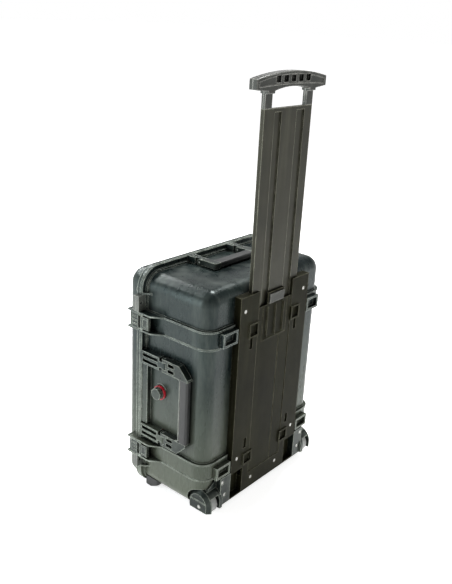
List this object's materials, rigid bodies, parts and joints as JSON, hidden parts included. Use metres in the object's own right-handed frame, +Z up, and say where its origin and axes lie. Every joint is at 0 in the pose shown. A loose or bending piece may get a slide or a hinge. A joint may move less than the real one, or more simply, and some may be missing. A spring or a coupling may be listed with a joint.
{
  "type": "wheeled hard equipment case",
  "caption": "Wheeled waterproof hard case with hinged lid, latches, folding carry handles and a telescoping pull handle sliding in a back frame.",
  "frame": {"origin": "on the floor under the middle of the closed case", "axes": "+Z up, +Y towards the pull handle and wheels, -Y towards the lid, +X towards the latches and side handle"},
  "size_m": [0.468, 0.27, 0.995],
  "materials": {
    "shell": "fine moulded texture",
    "trolley": "satin moulded",
    "pull_panel": "satin moulded",
    "grip": "satin moulded",
    "hardware": "matte moulded",
    "rubber": "matte",
    "tyre": "worn polyurethane",
    "steel": "brushed stainless",
    "lug": "satin moulded",
    "valve_ring": "glossy red"
  },
  "bodies": {
    "base": {"base_shell": "shell", "latch_guards": "shell", "base_padlock_lugs": "lug", "stacking_feet": "shell", "top_handle_brackets": "shell", "side_handle_brackets": "shell", "base_hinge_knuckles": "shell", "rubber_feet": "rubber", "hinge_pins": "steel", "top_handle_pins": "steel", "side_handle_pins": "steel", "trolley_frame": "trolley", "trolley_cover": "trolley", "latch_panel": "trolley", "frame_screws": "steel", "bracket_screws": "steel", "valve_body": "hardware", "valve_ring": "valve_ring", "wheel_housing_latch_side": "hardware", "wheel_housing_hinge_side": "hardware", "wheel_axle_latch_side": "steel", "wheel_axle_hinge_side": "steel"},
    "lid": {"lid_shell": "shell", "lid_gasket": "rubber", "lid_padlock_lugs": "lug", "lid_hinge_knuckles": "shell", "latch_pins": "steel"},
    "upper_latch": {"upper_latch_claw": "hardware", "upper_latch_lever_pin": "steel"},
    "upper_lever": {"upper_latch_lever": "hardware"},
    "lower_latch": {"lower_latch_claw": "hardware", "lower_latch_lever_pin": "steel"},
    "lower_lever": {"lower_latch_lever": "hardware"},
    "top_handle": {"top_handle_frame": "hardware", "top_handle_grip": "rubber"},
    "side_handle": {"side_handle_frame": "hardware", "side_handle_grip": "rubber"},
    "pull_handle": {"pull_panel": "pull_panel", "lock_bolts": "steel", "grip_front": "grip", "grip_rear": "grip", "grip_screws": "steel"},
    "release": {"release_tab": "grip"},
    "valve": {"valve_knob": "hardware"},
    "latch_side_wheel": {"wheel_tyre_latch_side": "tyre", "wheel_hub_latch_side": "hardware", "wheel_bearings_latch_side": "steel"},
    "hinge_side_wheel": {"wheel_tyre_hinge_side": "tyre", "wheel_hub_hinge_side": "hardware", "wheel_bearings_hinge_side": "steel"}
  },
  "joints": [
    {"name": "lid_hinge", "type": "hinge", "parent": "base", "child": "lid", "pos_m": [-0.2284, -0.083, 0.2875], "axis": [0, 0, -1], "range_deg": [0, 110]},
    {"name": "upper_latch_pivot", "type": "hinge", "parent": "lid", "child": "upper_latch", "pos_m": [0.229, -0.099, 0.4445], "axis": [0, 0, -1], "range_deg": [0, 115]},
    {"name": "upper_lever_pivot", "type": "hinge", "parent": "upper_latch", "child": "upper_lever", "pos_m": [0.2317, -0.068, 0.4445], "axis": [0, 0, -1], "range_deg": [0, 80]},
    {"name": "lower_latch_pivot", "type": "hinge", "parent": "lid", "child": "lower_latch", "pos_m": [0.229, -0.099, 0.1155], "axis": [0, 0, -1], "range_deg": [0, 115]},
    {"name": "lower_lever_pivot", "type": "hinge", "parent": "lower_latch", "child": "lower_lever", "pos_m": [0.2317, -0.068, 0.1155], "axis": [0, 0, -1], "range_deg": [0, 80]},
    {"name": "top_handle_pivot", "type": "hinge", "parent": "base", "child": "top_handle", "pos_m": [0, -0.038, 0.558], "axis": [1, 0, 0], "range_deg": [0, 90]},
    {"name": "side_handle_pivot", "type": "hinge", "parent": "base", "child": "side_handle", "pos_m": [0.219, -0.004, 0.261], "axis": [0, 0, -1], "range_deg": [0, 90]},
    {"name": "pull_handle_slide", "type": "slide", "parent": "base", "child": "pull_handle", "axis": [0, 0, -1], "range_m": [0, 0.388]},
    {"name": "release_press", "type": "slide", "parent": "base", "child": "release", "axis": [0, -1, 0], "range_m": [0, 0.0024], "stiffness_N_per_m": 800},
    {"name": "valve_turn", "type": "hinge", "parent": "base", "child": "valve", "pos_m": [0.216, -0.026, 0.275], "axis": [1, 0, 0], "range_deg": [0, 360]},
    {"name": "latch_side_wheel_spin", "type": "hinge", "parent": "base", "child": "latch_side_wheel", "pos_m": [0.183, 0.105, 0.026], "axis": [1, 0, 0], "continuous": true},
    {"name": "hinge_side_wheel_spin", "type": "hinge", "parent": "base", "child": "hinge_side_wheel", "pos_m": [-0.183, 0.105, 0.026], "axis": [1, 0, 0], "continuous": true}
  ]
}
